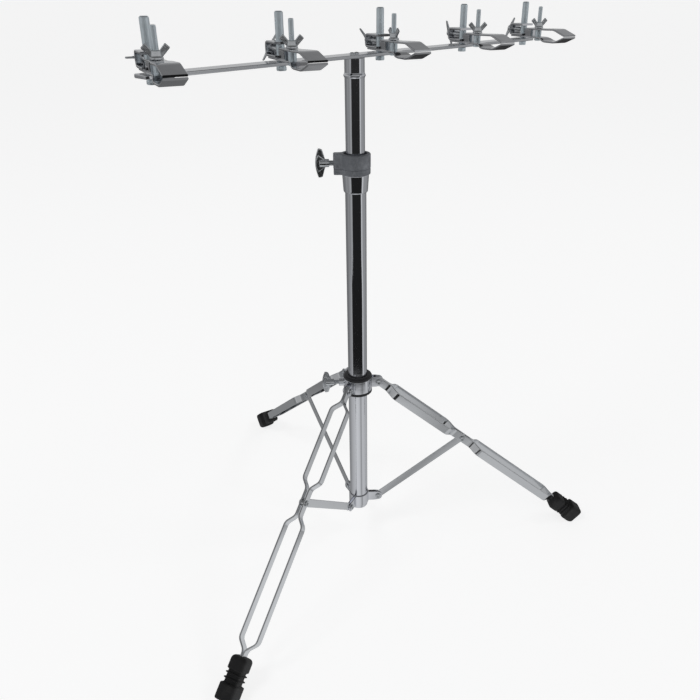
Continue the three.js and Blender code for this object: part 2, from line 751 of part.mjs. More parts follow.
function addClamps() {
  const shapes = {
    post: toGeometry(makePost()),
    frame: toGeometry(makeClampFrame()),
    jaw: toGeometry(makeUpperJaw()),
    nut: toGeometry(makeWingNut()),
    screw: toGeometry(makePostScrew()),
  };
  const nutSeat = jawRise.upperBottom + jawPlate.thickness + gap;
  postPlaces.forEach((x, i) => {
    const clamp = new THREE.Group();
    clamp.position.set(x, 0, bar.top);
    clamp.rotation.z = THREE.MathUtils.degToRad(-90 - clampSwivel);
    stand.add(clamp);
    place(clamp, `post_${i + 1}`, shapes.post, zinc);
    place(clamp, `clamp_frame_${i + 1}`, shapes.frame, chrome);
    place(clamp, `upper_jaw_${i + 1}`, shapes.jaw, chrome);
    const nut = place(clamp, `wing_nut_${i + 1}`, shapes.nut, zinc);
    nut.position.set(jawBolt.distance, 0, nutSeat);
    nut.rotation.z = THREE.MathUtils.degToRad(nutAngles[i]);
    const screw = place(clamp, `post_screw_${i + 1}`, shapes.screw, zinc);
    screw.position.z = postScrew.height;
    screw.rotation.x = THREE.MathUtils.degToRad(postScrewAngles[i] - 90);
  });
}

addColumn();
addTripod();
addClamps();

// The row's origin is the middle of the whole stand's box, on the floor.
const group = new THREE.Group();
group.add(stand);
const bounds = new THREE.Box3().setFromObject(stand);
const middle = bounds.getCenter(new THREE.Vector3());
stand.position.set(-middle.x, -middle.y, -bounds.min.z);

// Where the moving pieces turn and slide, in the column's own frame.
group.userData.places = {
  shift: stand.position.toArray(),
  legAzimuths: Array.from({ length: legCount }, (_, i) => firstLegAzimuth + (i * 360) / legCount),
  pivotRadius,
  collarPivotHeight,
  hubPivotHeight,
  kneeRadius,
  kneeHeight,
  foldAngle: foldedBraceAngle - THREE.MathUtils.radToDeg(legSlope),
  soleRadius,
  screwAzimuth,
  heightScrewHeight,
  barTop: bar.top,
  postPlaces,
  postHeight: post.height,
  clampAzimuth: -90 - clampSwivel,
  jawBoltDistance: jawBolt.distance,
  postScrewHeight: postScrew.height,
  jawOpening,
  threadPitch,
  mastDown: barBottom - bead.belowBar - bead.halfWidth - clampRing.bottom - clampRing.height - 2,
  mastUp: upperTube.insertion - 100,
  clampUp: post.height - bracket.top - 1,
};

export default group;
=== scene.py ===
# %% [markdown]
# # A percussion stand, piece by piece
# A chrome tripod holds a mast that slides and turns, and the mast holds a flat bar. Five posts stand on
# the bar, and each carries a clamp: two bent jaws, a bolt through both and a wing nut that closes them.
# The CAD solids say where everything is. Here each one is made again with rolled edges, real threads and
# real finishes, because light on metal is all about small rounded edges.

# %% Load the frame
import json
import bmesh
import bpy
import numpy as np
from mathutils import Matrix, Vector


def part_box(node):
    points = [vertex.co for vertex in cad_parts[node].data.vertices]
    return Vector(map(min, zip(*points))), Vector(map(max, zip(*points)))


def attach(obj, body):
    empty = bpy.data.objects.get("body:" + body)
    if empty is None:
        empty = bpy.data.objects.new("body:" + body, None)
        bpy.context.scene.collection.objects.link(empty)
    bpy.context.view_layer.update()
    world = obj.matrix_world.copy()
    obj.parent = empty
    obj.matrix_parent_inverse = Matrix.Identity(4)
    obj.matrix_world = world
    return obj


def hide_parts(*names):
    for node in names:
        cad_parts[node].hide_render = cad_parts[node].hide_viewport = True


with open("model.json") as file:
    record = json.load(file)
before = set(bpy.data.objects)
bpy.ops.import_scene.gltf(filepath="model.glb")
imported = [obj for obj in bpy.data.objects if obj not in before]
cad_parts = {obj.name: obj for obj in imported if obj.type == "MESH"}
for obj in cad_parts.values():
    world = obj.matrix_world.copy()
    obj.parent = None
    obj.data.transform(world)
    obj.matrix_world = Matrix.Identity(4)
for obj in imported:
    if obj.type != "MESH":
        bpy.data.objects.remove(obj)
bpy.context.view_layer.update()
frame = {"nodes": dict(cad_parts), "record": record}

body_of = {node: body for body, nodes in frame["record"]["behaviour"]["bodies"].items() for node in nodes}

# %% [markdown]
# ## The view
# The stand is seen from its front left corner, from a little above the bar, with a short lens held close.
# That is why the left clamp looks twice as large as the right one. The camera is placed from the column's
# axis, by a heading, a tilt and a distance, so the numbers can be read as a place in a room.

# %% The camera
MM = 0.001


def middle(node):
    """The middle of a CAD node's box, in millimetres."""
    low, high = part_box(node)
    return np.array(low + high) / 2 / MM


def heights(node):
    """The lowest and the highest point of a CAD node's box, in millimetres."""
    return [corner[2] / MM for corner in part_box(node)]


column_x, column_y = middle("lower_tube")[:2]


def aim_camera(eye, heading, tilt, roll, focal, shift):
    """Looks along a heading turned from +X and a tilt below level, then rolls about that line."""
    a, b, r = np.radians([heading, tilt, roll])
    forward = np.array([np.cos(a) * np.cos(b), np.sin(a) * np.cos(b), -np.sin(b)])
    side = np.array([np.sin(a), -np.cos(a), 0.0])
    lift = np.cross(side, forward)
    right, up = side * np.cos(r) + lift * np.sin(r), lift * np.cos(r) - side * np.sin(r)
    data = bpy.data.cameras.new("studio_camera")
    data.sensor_width, data.lens = 36.0, 36.0 * focal
    data.shift_x, data.shift_y = shift
    data.clip_start, data.clip_end = 0.01, 500.0
    camera = bpy.data.objects.new("studio_camera", data)
    world = np.eye(4)
    world[:3, :3] = np.column_stack([right, up, -forward])
    world[:3, 3] = np.array(eye) * MM
    camera.matrix_world = Matrix(world.tolist())
    bpy.context.scene.collection.objects.link(camera)
    bpy.context.scene.camera = camera


eye_left, eye_front, eye_height = 648.7, 654.4, 834.6
eye = (column_x - eye_left, column_y - eye_front, eye_height)
aim_camera(eye, heading=44.42, tilt=27.32, roll=-0.21, focal=0.9926, shift=(-0.0232, -0.0131))
print("camera distance from the column", round(float(np.hypot(eye_left, eye_front)), 1), "mm")

# %% [markdown]
# ## Writing finishes as sums
# A finish is a little graph of nodes, and most of it is arithmetic: take a noise, scale it, add it to a
# roughness. Linking nodes by hand hides that. So one small class wraps a node's output and lets Python's
# own + - * build the Math nodes, and one method makes any other node.

# %% Sockets that can be added and multiplied
class Wave:
    """A number that varies over a surface: the output of a node, with Python's operators."""

    def __init__(self, finish, socket):
        self.finish, self.socket = finish, socket

    def _math(self, kind, first, second):
        return self.finish.node("ShaderNodeMath", {"operation": kind}, {0: first, 1: second})

    def __add__(self, other):
        return self._math("ADD", self, other)

    def __sub__(self, other):
        return self._math("SUBTRACT", self, other)

    def __rsub__(self, other):
        return self._math("SUBTRACT", other, self)

    def __mul__(self, other):
        return self._math("MULTIPLY", self, other)

    __radd__, __rmul__ = __add__, __mul__


class Finish:
    """One material: a Principled shader whose fixed values are set on it, and whose varying ones are linked."""

    def __init__(self, name, **fixed):
        self.material = bpy.data.materials.new(name)
        self.material.use_nodes = True
        self.nodes, self.links = self.material.node_tree.nodes, self.material.node_tree.links
        self.shader = self.nodes["Principled BSDF"]
        for socket, value in fixed.items():
            self.shader.inputs[socket.replace("_", " ")].default_value = value
        self.place = self.node("ShaderNodeTexCoord", {}, {}, "Object")

    def node(self, kind, settings, inputs, output=0):
        """Any node: its settings first, then a value or a link for each socket that is named."""
        made = self.nodes.new(kind)
        stops = settings.pop("stops", None)
        for name, value in settings.items():
            setattr(made, name, value)
        for stop, element in zip(stops or [], made.color_ramp.elements if stops else []):
            element.position, element.color = stop[0], stop[1]
        for name, value in inputs.items():
            self.set(made.inputs[name], value)
        return Wave(self, made.outputs[output])

    def set(self, socket, value):
        if isinstance(value, Wave):
            self.links.new(value.socket, socket)
        else:
            socket.default_value = value

    def noise(self, scale, detail=3.0, roughness=0.5, place=None):
        """Cloudy noise between 0 and 1; the scale is in clouds per metre."""
        sockets = {"Vector": place or self.place, "Scale": scale, "Detail": detail, "Roughness": roughness}
        return self.node("ShaderNodeTexNoise", {}, sockets, "Fac")

    def stretched(self, x, y, z):
        """Object coordinates squeezed along each axis, so that a noise becomes streaks."""
        return self.node("ShaderNodeVectorMath", {"operation": "MULTIPLY"}, {0: self.place, 1: (x, y, z)})

    def ramp(self, amount, low, high):
        """A soft step from 0 to 1 as the amount goes from low to high."""
        stops = [(low, (0, 0, 0, 1)), (high, (1, 1, 1, 1))]
        return self.node("ShaderNodeValToRGB", {"stops": stops}, {"Fac": amount})

    def blend(self, amount, first, second):
        """A colour between two colours."""
        settings = {"data_type": "RGBA", "clamp_factor": True}
        mix = self.node("ShaderNodeMix", settings, {})
        made = mix.socket.node
        for name, value in ((0, amount), (6, first), (7, second)):
            self.set(made.inputs[name], value)
        return Wave(self, made.outputs[2])

    def bump(self, height, distance, strength=1.0):
        """Turns a height into a tilt of the surface."""
        sockets = {"Height": height, "Distance": distance, "Strength": strength}
        return self.node("ShaderNodeBump", {}, sockets, "Normal")

    def link(self, **sockets):
        for name, value in sockets.items():
            self.set(self.shader.inputs[name.replace("_", " ")], value)
        return self.material


print("finish helpers ready")

# %% [markdown]
# ## Chrome
# Plated tube and strip is a mirror with a faint blue cast. It is never a perfect mirror: polishing leaves
# long soft waves, hands leave cloudy smears, and dust and tiny scratches spread the light a little. The
# waves are bump, and the smears and scratches are roughness. Tube and strip differ: tube was polished
# turning, so its lines run round it, and strip was rolled flat, so it is a little duller.

# %% Chrome finishes
def make_chrome(name, base, tint, waves, wave_depth, squeeze):
    """A mirror of one tint; waves is how many soft dents there are in a metre, and squeeze makes the lines."""
    finish = Finish(name, Metallic=1.0)
    smear = finish.noise(14.0, 4.0, 0.6)
    lines = finish.noise(90.0, 3.0, 0.6, finish.stretched(*squeeze))
    pits = finish.ramp(finish.noise(900.0, 1.0), 0.68, 0.74)
    rough = base + finish.ramp(smear, 0.45, 0.8) * 0.05 + lines * 0.03 + pits * 0.10
    dull = [channel * 0.86 for channel in tint[:3]] + [1.0]
    colour = finish.blend(smear * 0.5 + pits * 0.4, tint, dull)
    height = finish.noise(waves, 2.0, 0.45) + lines * 0.06
    return finish.link(Base_Color=colour, Roughness=rough, Normal=finish.bump(height, wave_depth))


round_the_tube, along_the_bar, every_way = (0.4, 0.4, 9.0), (0.25, 4.0, 1.0), (1.0, 1.0, 1.0)
tube_chrome = make_chrome("tube_chrome", 0.045, (0.84, 0.85, 0.885, 1), 30.0, 0.0003, round_the_tube)
strip_chrome = make_chrome("strip_chrome", 0.11, (0.80, 0.812, 0.83, 1), 22.0, 0.00025, every_way)
jaw_chrome = make_chrome("jaw_chrome", 0.09, (0.62, 0.625, 0.645, 1), 40.0, 0.0003, every_way)
bar_chrome = make_chrome("bar_chrome", 0.10, (0.78, 0.79, 0.815, 1), 18.0, 0.00012, along_the_bar)
print("chrome finishes", 4)

# %% [markdown]
# ## Zinc, cast metal, plastic and rubber
# The posts, screws and nuts are zinc plated: pale, slightly blue, and mottled where the plating took
# unevenly. The height clamp is a dark die casting with an orange-peel skin. The bushings are moulded
# black plastic, and the feet are matte rubber that holds a little dust in its grain.

# %% Zinc, cast, plastic and rubber finishes
def make_zinc(name, tint, base, metallic):
    """Plating that is mottled in small spots and in larger patches."""
    finish = Finish(name, Metallic=metallic)
    mottle = finish.noise(260.0, 4.0, 0.65)
    patches = finish.ramp(finish.noise(55.0, 3.0), 0.38, 0.66)
    dark = [channel * 0.76 for channel in tint[:3]] + [1.0]
    colour = finish.blend(mottle * 0.6 + patches * 0.35, tint, dark)
    rough = base + mottle * 0.12 + patches * 0.05
    height = mottle + finish.noise(1400.0, 1.0) * 0.35
    return finish.link(Base_Color=colour, Roughness=rough, Normal=finish.bump(height, 0.00009))


def make_cast(name):
    finish = Finish(name, Metallic=0.75)
    grain = finish.noise(520.0, 3.0, 0.6)
    worn = finish.ramp(finish.noise(70.0, 4.0), 0.5, 0.8)
    colour = finish.blend(grain * 0.5 + worn * 0.5, (0.20, 0.21, 0.23, 1), (0.48, 0.495, 0.53, 1))
    height = grain + finish.noise(140.0, 2.0) * 0.8
    rough = 0.46 + grain * 0.22 - worn * 0.10
    return finish.link(Base_Color=colour, Roughness=rough, Normal=finish.bump(height, 0.0009))


def make_plastic(name):
    finish = Finish(name, Metallic=0.0)
    grain = finish.noise(700.0, 2.0)
    colour = finish.blend(finish.noise(60.0), (0.010, 0.010, 0.011, 1), (0.028, 0.028, 0.031, 1))
    rough = 0.30 + grain * 0.22
    return finish.link(Base_Color=colour, Roughness=rough, Normal=finish.bump(grain, 0.00010))


def make_rubber(name):
    finish = Finish(name, Metallic=0.0)
    grain = finish.noise(480.0, 4.0, 0.7)
    dust = finish.ramp(finish.noise(75.0, 4.0, 0.65), 0.52, 0.85)
    colour = finish.blend(dust * 0.6 + grain * 0.15, (0.012, 0.012, 0.013, 1), (0.055, 0.053, 0.050, 1))
    rough = 0.62 + grain * 0.20 + dust * 0.10
    return finish.link(Base_Color=colour, Roughness=rough, Normal=finish.bump(grain, 0.0003))


post_zinc = make_zinc("post_zinc", (0.84, 0.93, 0.98, 1), 0.22, 0.8)
nut_zinc = make_zinc("nut_zinc", (0.78, 0.80, 0.82, 1), 0.14, 1.0)
clamp_cast = make_cast("clamp_cast")
bushing_plastic = make_plastic("bushing_plastic")
foot_rubber = make_rubber("foot_rubber")
print("finishes", len(bpy.data.materials))

# %% [markdown]
# ## From grids of points to pieces
# Every surface below is a grid: rings of points, one after another. Neighbouring rings are joined with
# four-sided faces, and a closed form gets a face over its first and last ring. Doubles are merged, so a
# ring of no size becomes a closed pole, and then the faces are made to point outwards. A Weighted Normal
# modifier lets the large flats decide the shading, so a rolled edge beside one doesn't make it look blown up.

# %% Grid builders
def strips(rows, columns, wrap_rows=False):
    """Faces between neighbouring rings: corner (i, j) joins (i, j+1), (i+1, j+1) and (i+1, j)."""
    i = np.arange(rows if wrap_rows else rows - 1)[:, None]
    j = np.arange(columns)[None, :]
    below, above = i * columns, ((i + 1) % rows) * columns
    following = (j + 1) % columns
    return np.stack([below + j, below + following, above + following, above + j], -1).reshape(-1, 4)


def shell(grid, wrap_rows=False):
    """Points and faces of a closed form from a grid of rings, with end faces unless the rings join up."""
    rows, columns = grid.shape[:2]
    faces = strips(rows, columns, wrap_rows).tolist()
    if not wrap_rows:
        last = (rows - 1) * columns
        faces += [list(range(columns))[::-1], list(range(last, last + columns))]
    return grid.reshape(-1, 3), faces


def moved(form, place):
    """The form's points times a 4 x 4 place."""
    points, faces = form
    return points @ place[:3, :3].T + place[:3, 3], faces


def shift_by(x, y, z):
    place = np.eye(4)
    place[:3, 3] = x, y, z
    return place


def turn(axis, degrees):
    """A turn about one axis, as a 4 x 4 place."""
    return np.array(Matrix.Rotation(np.radians(degrees), 4, axis))


pieces_made = []


def make_piece(name, node, forms, place, finish, stands_in=True, crease=38.0, body=None):
    """Joins forms into one mesh, puts it in its place in metres, and hangs it on the node's body."""
    starts = np.cumsum([0] + [len(points) for points, _ in forms])
    points = np.vstack([points for points, _ in forms]) @ place[:3, :3].T + place[:3, 3]
    faces = [[corner + start for corner in face] for (_, some), start in zip(forms, starts) for face in some]
    mesh = bpy.data.meshes.new(name)
    mesh.from_pydata((points * MM).tolist(), [], faces)
    work = bmesh.new()
    work.from_mesh(mesh)
    bmesh.ops.remove_doubles(work, verts=work.verts, dist=2e-6)
    bmesh.ops.recalc_face_normals(work, faces=work.faces)
    work.to_mesh(mesh)
    work.free()
    mesh.shade_smooth()
    mesh.set_sharp_from_angle(angle=np.radians(crease))
    mesh.materials.append(finish)
    piece = bpy.data.objects.new(name, mesh)
    bpy.context.scene.collection.objects.link(piece)
    flats = piece.modifiers.new("flat_faces_stay_flat", "WEIGHTED_NORMAL")
    flats.mode, flats.keep_sharp = "FACE_AREA", True
    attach(piece, body or body_of[node])
    if stands_in:
        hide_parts(node)
    pieces_made.append(piece)
    return piece


print("grid builders ready")

# %% [markdown]
# ## Four ways to make a shape
# Nearly everything on the stand was made in one of four ways: turned on a lathe, cut from plate, cast as
# a band with a lump on it, or bent from strip. Each way gets one function, and each has a rolled edge
# built in, since a real edge always catches a line of light.

# %% Turned, plate, band and strip
def around(count):
    return np.linspace(0, 2 * np.pi, count, endpoint=False)


def turned(profile, sides=56, closed=False):
    """Each (radius, height) of the profile, swept round Z: (r cos t, r sin t, h)."""
    radius, height = np.array(profile, float).T[:, :, None]
    t = around(sides)[None, :]
    return shell(np.stack([radius * np.cos(t), radius * np.sin(t), height + 0 * t], -1), closed)


def pipe(profile, sides=64):
    """A closed profile swept round Z, with a hole down the middle."""
    return turned(profile, sides, True)


def rolled(low, high, radius, steps=4):
    """The wall of a turned part with rolled corners: quarter circles of one radius at both ends."""
    a = np.linspace(0, np.pi / 2, steps + 1)
    size, bottom, top = radius
    lower = np.stack([size - bottom + bottom * np.sin(a), low + bottom - bottom * np.cos(a)], -1)
    upper = np.stack([size - top + top * np.cos(a), high - top + top * np.sin(a)], -1)
    return np.vstack([lower, upper])


def tube(inner, outer, low, high, edge):
    """A tube with both ends rounded over."""
    wall = rolled(low, high, (outer, edge, edge))
    return pipe(np.vstack([[[inner, low]], wall, [[inner, high]]]))


def hexagon(across, low, high, turned_by=0.0, sides=96):
    """A hexagon bar end: the smaller of a/cos(t) and a cone that cuts its corners at top and bottom."""
    t = around(sides) + 1e-9
    flat = across / 2 / np.cos((t + np.radians(turned_by) + np.pi / 6) % (np.pi / 3) - np.pi / 6)
    height = np.array([low, low, low + 0.7, high - 0.9, high, high])[:, None]
    cone = np.array([0.0, 0.49, 0.58, 0.58, 0.48, 0.0])[:, None] * across
    radius = np.minimum(flat[None, :], cone)
    return shell(np.stack([radius * np.cos(t), radius * np.sin(t), height + 0 * t], -1))


def inset(outline, distance):
    """Moves a closed outline inwards along the average of its neighbouring edges' normals."""
    along = np.roll(outline, -1, 0) - outline
    along /= np.linalg.norm(along, axis=1, keepdims=True) + 1e-12
    normal = np.stack([-along[:, 1], along[:, 0]], -1)
    both = normal + np.roll(normal, 1, 0)
    both /= np.maximum((both * normal).sum(1, keepdims=True), 0.6)
    return outline[None] + distance[:, None, None] * both[None]


def edge_profile(low, high, edge, steps):
    """How far each ring of a rolled edge is pushed in, e(1 - cos a), and its height, e(1 - sin a) from an end."""
    a = np.linspace(0, np.pi / 2, steps + 1)
    push = np.concatenate([edge * (1 - np.sin(a)), edge * (1 - np.cos(a))])
    height = np.concatenate([low + edge * (1 - np.cos(a)), high - edge + edge * np.sin(a)])
    return push, height


def lifted(rings, height):
    """Flat rings of X and Y, each given its own height."""
    return np.concatenate([rings, np.broadcast_to(height[:, None, None], rings.shape[:2] + (1,))], -1)


def plate(outline, low, high, edge, steps=3):
    """An outline in X and Y carried up from low to high, with its top and bottom edges rolled."""
    push, height = edge_profile(low, high, edge, steps)
    return shell(lifted(inset(np.array(outline, float), push), height))


def band(outer, inner, low, high, edge, steps=3):
    """A closed band between two outlines of as many points, with its outer corners rolled."""
    push, height = edge_profile(low, high, edge, steps)
    outside = inset(np.array(outer, float), push)
    inside = np.broadcast_to(np.array(inner, float), (2,) + outside.shape[1:])
    rings = np.concatenate([outside, inside])
    return shell(lifted(rings, np.concatenate([height, [high, low]])), True)


def on_side(form):
    """Lays a form made in X and Y up into X and Z, with its thickness along Y."""
    points, faces = form
    return points[:, [0, 2, 1]] * [1, -1, 1], faces


def rounded_corners(corners, cut, steps=5):
    """A closed outline whose corners P become parabolas (1-t)^2 A + 2t(1-t) P + t^2 B."""
    corner = np.array(corners, float)
    cut = np.broadcast_to(np.array(cut, float), len(corner))[:, None]
    back, on = np.roll(corner, 1, 0) - corner, np.roll(corner, -1, 0) - corner
    first = corner + back / np.linalg.norm(back, axis=1, keepdims=True) * cut
    last = corner + on / np.linalg.norm(on, axis=1, keepdims=True) * cut
    t = np.linspace(0, 1, steps + 1)[None, :, None]
    bends = (1 - t) ** 2 * first[:, None] + 2 * t * (1 - t) * corner[:, None] + t ** 2 * last[:, None]
    return bends.reshape(-1, 2)


def soft_path(corners, cut, steps=6):
    """An open path whose inner corners become parabolas, as a strip bends round a tool."""
    corner = np.array(corners, float)
    inner = corner[1:-1]
    back, on = corner[:-2] - inner, corner[2:] - inner
    first = inner + back / np.linalg.norm(back, axis=1, keepdims=True) * cut
    last = inner + on / np.linalg.norm(on, axis=1, keepdims=True) * cut
    t = np.linspace(0, 1, steps + 1)[None, :, None]
    bends = (1 - t) ** 2 * first[:, None] + 2 * t * (1 - t) * inner[:, None] + t ** 2 * last[:, None]
    return np.vstack([corner[:1], bends.reshape(-1, 2), corner[-1:]])


def bent_strip(path, half_width, thickness, edge, end_cut=0.0, upright=False, steps=3):
    """A rounded rectangle carried along a path; near each end the width follows a quarter circle."""
    step = np.linalg.norm(np.diff(path, axis=0), axis=1)
    length = np.concatenate([[0], np.cumsum(step)])
    total = length[-1]
    tip = end_cut * (1 - np.cos(np.linspace(0, np.pi / 2, 9)))
    extra = np.linspace(0, total, int(total / 4) + 2)
    along = np.unique(np.round(np.concatenate([length, extra, tip, total - tip]), 3))
    centre = np.stack([np.interp(along, length, path[:, k]) for k in (0, 1)], -1)
    slope = np.gradient(centre, along, axis=0)
    slope /= np.linalg.norm(slope, axis=1, keepdims=True)
    normal = np.stack([-slope[:, 1], slope[:, 0]], -1)
    half = half_width(centre[:, 0]) if callable(half_width) else np.full(len(along), float(half_width))
    near = np.clip(end_cut - np.minimum(along, total - along), 0, end_cut)
    half = half - end_cut + np.sqrt(np.maximum(end_cut ** 2 - near ** 2, 0)) if end_cut else half
    half = np.maximum(half, 0.02)[:, None]
    corner = np.minimum(edge, half * 0.98)
    a = np.linspace(0, np.pi / 2, steps + 1)
    angle = np.concatenate([a, a + np.pi / 2, a + np.pi, a + 1.5 * np.pi])[None, :]
    quarter = np.repeat([0, 1, 2, 3], steps + 1)
    right, over = np.array([1, -1, -1, 1])[quarter], np.array([1, 1, -1, -1])[quarter]
    wide = right * (half - corner) + corner * np.cos(angle)
    thick = over * (thickness / 2 - edge) + edge * np.sin(angle)
    flat = centre[:, None] + normal[:, None] * thick[..., None]
    stacked = np.concatenate([flat, wide[..., None]], -1)
    return shell(stacked if upright else stacked[..., [0, 2, 1]])


def threaded(radius, depth, pitch, low, high, sides=20):
    """A threaded rod: the radius dips by a triangle wave of height/pitch - angle/turn, and fades at the ends."""
    height = np.linspace(low, high, int((high - low) / pitch * 4) + 1)[:, None]
    t = around(sides)[None, :]
    phase = (height / pitch - t / (2 * np.pi)) % 1.0
    fade = np.clip(np.minimum(height - low, high - height) / pitch, 0, 1)
    size = radius - depth * fade * np.abs(2 * phase - 1) - (1 - fade) * depth * 0.9
    return shell(np.stack([size * np.cos(t), size * np.sin(t), height + 0 * t], -1))


print("shape functions ready")

# %% [markdown]
# ## The column
# Two chrome tubes, one inside the other. The lower one ends inside the height clamp. The upper one has a
# rolled bead just under the bar, which stops it from dropping through. Between them sits the clamp: a
# dark cast ring with a rounded lump for the wing screw, and under it a bright tapered sleeve.

# %% Tubes, sleeve, clamp and bushing
on_column = shift_by(column_x, column_y, 0)
lower_low, lower_high = heights("lower_tube")
lower_radius, lower_wall = 14.3, 1.2
make_piece("column_tube", "lower_tube", [tube(lower_radius - lower_wall, lower_radius, lower_low, lower_high, 0.5)],
           on_column, tube_chrome)

upper_low, upper_high = heights("upper_tube")
upper_radius, upper_wall = 12.7, 1.2
bead_height, bead_rise, bead_half = upper_high + 0.3 - 20.5, 1.3, 3.2
swell = np.linspace(-1, 1, 17)
bulge = bead_rise * np.cos(swell * np.pi / 2) ** 1.3
bead = np.stack([upper_radius + bulge, bead_height + bead_half * swell], -1)
wall = rolled(upper_low, upper_high, (upper_radius, 0.5, 0.3))
mast_profile = np.vstack([[[upper_radius - upper_wall, upper_low]], wall[:5], bead, wall[5:],
                          [[upper_radius - upper_wall, upper_high]]])
make_piece("mast_tube", "upper_tube", [pipe(mast_profile, 72)], on_column, tube_chrome)

sleeve_low, sleeve_high = heights("clamp_sleeve")
curve = np.linspace(0, np.pi / 2, 7)
sleeve_bore, sleeve_rim, flare_width, flare_height = lower_radius + 0.3, lower_radius + 3.6, 1.6, 3.0
sleeve_foot = sleeve_bore + 0.3
sleeve_profile = np.vstack([
    [[sleeve_bore, sleeve_low + 0.2], [sleeve_foot, sleeve_low]],
    np.stack([sleeve_foot + flare_width * np.sin(curve), sleeve_low + flare_height * (1 - np.cos(curve))], -1),
    [[sleeve_rim - 0.05, sleeve_high - 1.0], [sleeve_rim, sleeve_high - 0.5]],
    [[sleeve_rim - 0.3, sleeve_high], [sleeve_bore, sleeve_high]],
])
make_piece("tapered_sleeve", "clamp_sleeve", [pipe(sleeve_profile, 72)], on_column, tube_chrome)
print("column from", round(lower_low), "to", round(upper_high), "mm")

# %% The cast height clamp
screw_heading = 137.5
clamp_low, clamp_high = heights("height_clamp")
ring_radius, lug_reach, lug_half = 20.2, 29.3, 8.0
recess_radius, recess_floor, bore_radius = lower_radius + 1.5, clamp_low + 7.7, lower_radius + 0.4


def lugged(radius, reach, half, count=120):
    """A circle with a lump along +X: the larger of r and a softened box of the lump's size, by angle."""
    t = around(count)
    box = np.minimum(reach / np.maximum(np.cos(t), 1e-3), half / np.maximum(np.abs(np.sin(t)), 1e-3))
    box = np.where(np.cos(t) > 0.05, box, 0)
    power = 14.0
    size = (radius ** power + np.minimum(box, reach * 1.02) ** power) ** (1 / power)
    return np.stack([size * np.cos(t), size * np.sin(t)], -1)


angles = around(120)
circle = np.stack([np.cos(angles), np.sin(angles)], -1)
on_screw = on_column @ turn("Z", screw_heading)
make_piece("cast_clamp", "height_clamp", [
    band(lugged(ring_radius, lug_reach, lug_half), circle * recess_radius, recess_floor, clamp_high, 1.6),
    band(lugged(ring_radius - 0.2, lug_reach - 0.3, lug_half - 0.2), circle * bore_radius, clamp_low,
         recess_floor + 0.5, 1.3),
], on_screw, clamp_cast)

bush_low, bush_high = heights("mast_bushing")
bush_inner, bush_outer = upper_radius + 0.25, recess_radius - 0.3
bush_profile = np.vstack([[[bush_inner, bush_low]], rolled(bush_low, bush_high, (bush_outer, 0.4, 1.0)),
                          [[bush_inner + 0.65, bush_high], [bush_inner, bush_high - 0.8]]])
make_piece("mast_bushing_ring", "mast_bushing", [pipe(bush_profile)], on_column, bushing_plastic)
print("height clamp at", round(clamp_low, 1), "to", round(clamp_high, 1), "mm")

# %% [markdown]
# ## Wing screws
# Two large wing screws lock the mast and the hub, and five small ones lock the clamps. Each is a stem
# with a cast head: a round boss with two broad wings whose outer edge bulges. The wings are thinner at
# their tips than at the boss, so two plates are laid over each other, a thick short one and a thin long one.

# %% Wing screws
def wing_screw(stem, boss, boss_length, span, depth, thickness, length):
    """Along +X from a tip at X = 0: threaded stem, rolled boss, and wings with a parabola as outer edge."""
    half = span / 2
    lift = np.linspace(-1, 1, 19)
    outer = np.stack([length + depth * (0.8 + 0.35 * (1 - lift ** 2)), half * lift], -1)
    outline = np.vstack([
        outer,
        [[length + depth * 0.55, half * 0.995], [length + depth * 0.33, half * 0.93]],
        [[length + 0.4, boss * 1.15], [length - 0.3, boss * 0.9], [length - 0.3, -boss * 0.9]],
        [[length + 0.4, -boss * 1.15], [length + depth * 0.33, -half * 0.93]],
        [[length + depth * 0.55, -half * 0.995]],
    ])
    core = np.vstack([outer * [1, 0.62], [[length - 0.2, boss * 0.95], [length - 0.2, -boss * 0.95]]])
    wings = on_side(plate(outline, -thickness * 0.36, thickness * 0.36, thickness * 0.3, 4))
    root = on_side(plate(core, -thickness * 0.5, thickness * 0.5, thickness * 0.42, 4))
    head = turned(np.vstack([[[0, length - boss_length]],
                             rolled(length - boss_length, length + depth * 0.7, (boss, 0.7, 1.2)),
                             [[0, length + depth * 0.7]]]), 40)
    rod = threaded(stem, stem * 0.14, 1.0, 0.2, length - boss_length + 0.4)
    along_x = turn("Y", 90)
    return [moved(rod, along_x), moved(head, along_x), wings, root]


hub_inner, hub_outer = 19.6, 21.6
large_screw = dict(stem=3.6, boss=5.3, boss_length=5, depth=11.5, thickness=4.5)
height_screw_z, hub_screw_z = middle("height_wing_screw")[2], middle("hub_wing_screw")[2]
make_piece("height_screw", "height_wing_screw", wing_screw(span=38, length=23.9, **large_screw),
           on_screw @ shift_by(recess_radius, 0, height_screw_z), nut_zinc)
make_piece("hub_screw", "hub_wing_screw", wing_screw(span=36, length=21.5, **large_screw),
           on_screw @ shift_by(hub_inner, 0, hub_screw_z), nut_zinc)
print("wing screws at", round(height_screw_z, 1), "and", round(hub_screw_z, 1), "mm")

# %% [markdown]
# ## Hub and collar
# The legs hang from the hub, which slides on the column, and the braces stand on the collar, which is
# fixed to it. Both are bands with a pair of ears for each leg. A plastic bushing lines the hub, and shows
# as a black rim above and below the bright band.

# %% Bands with ears
leg_headings = [-162.5, -42.5, 77.5]
pivot_radius, knee_radius, collar_pivot, hub_pivot = 32.0, 168.0, 66.0, 289.0


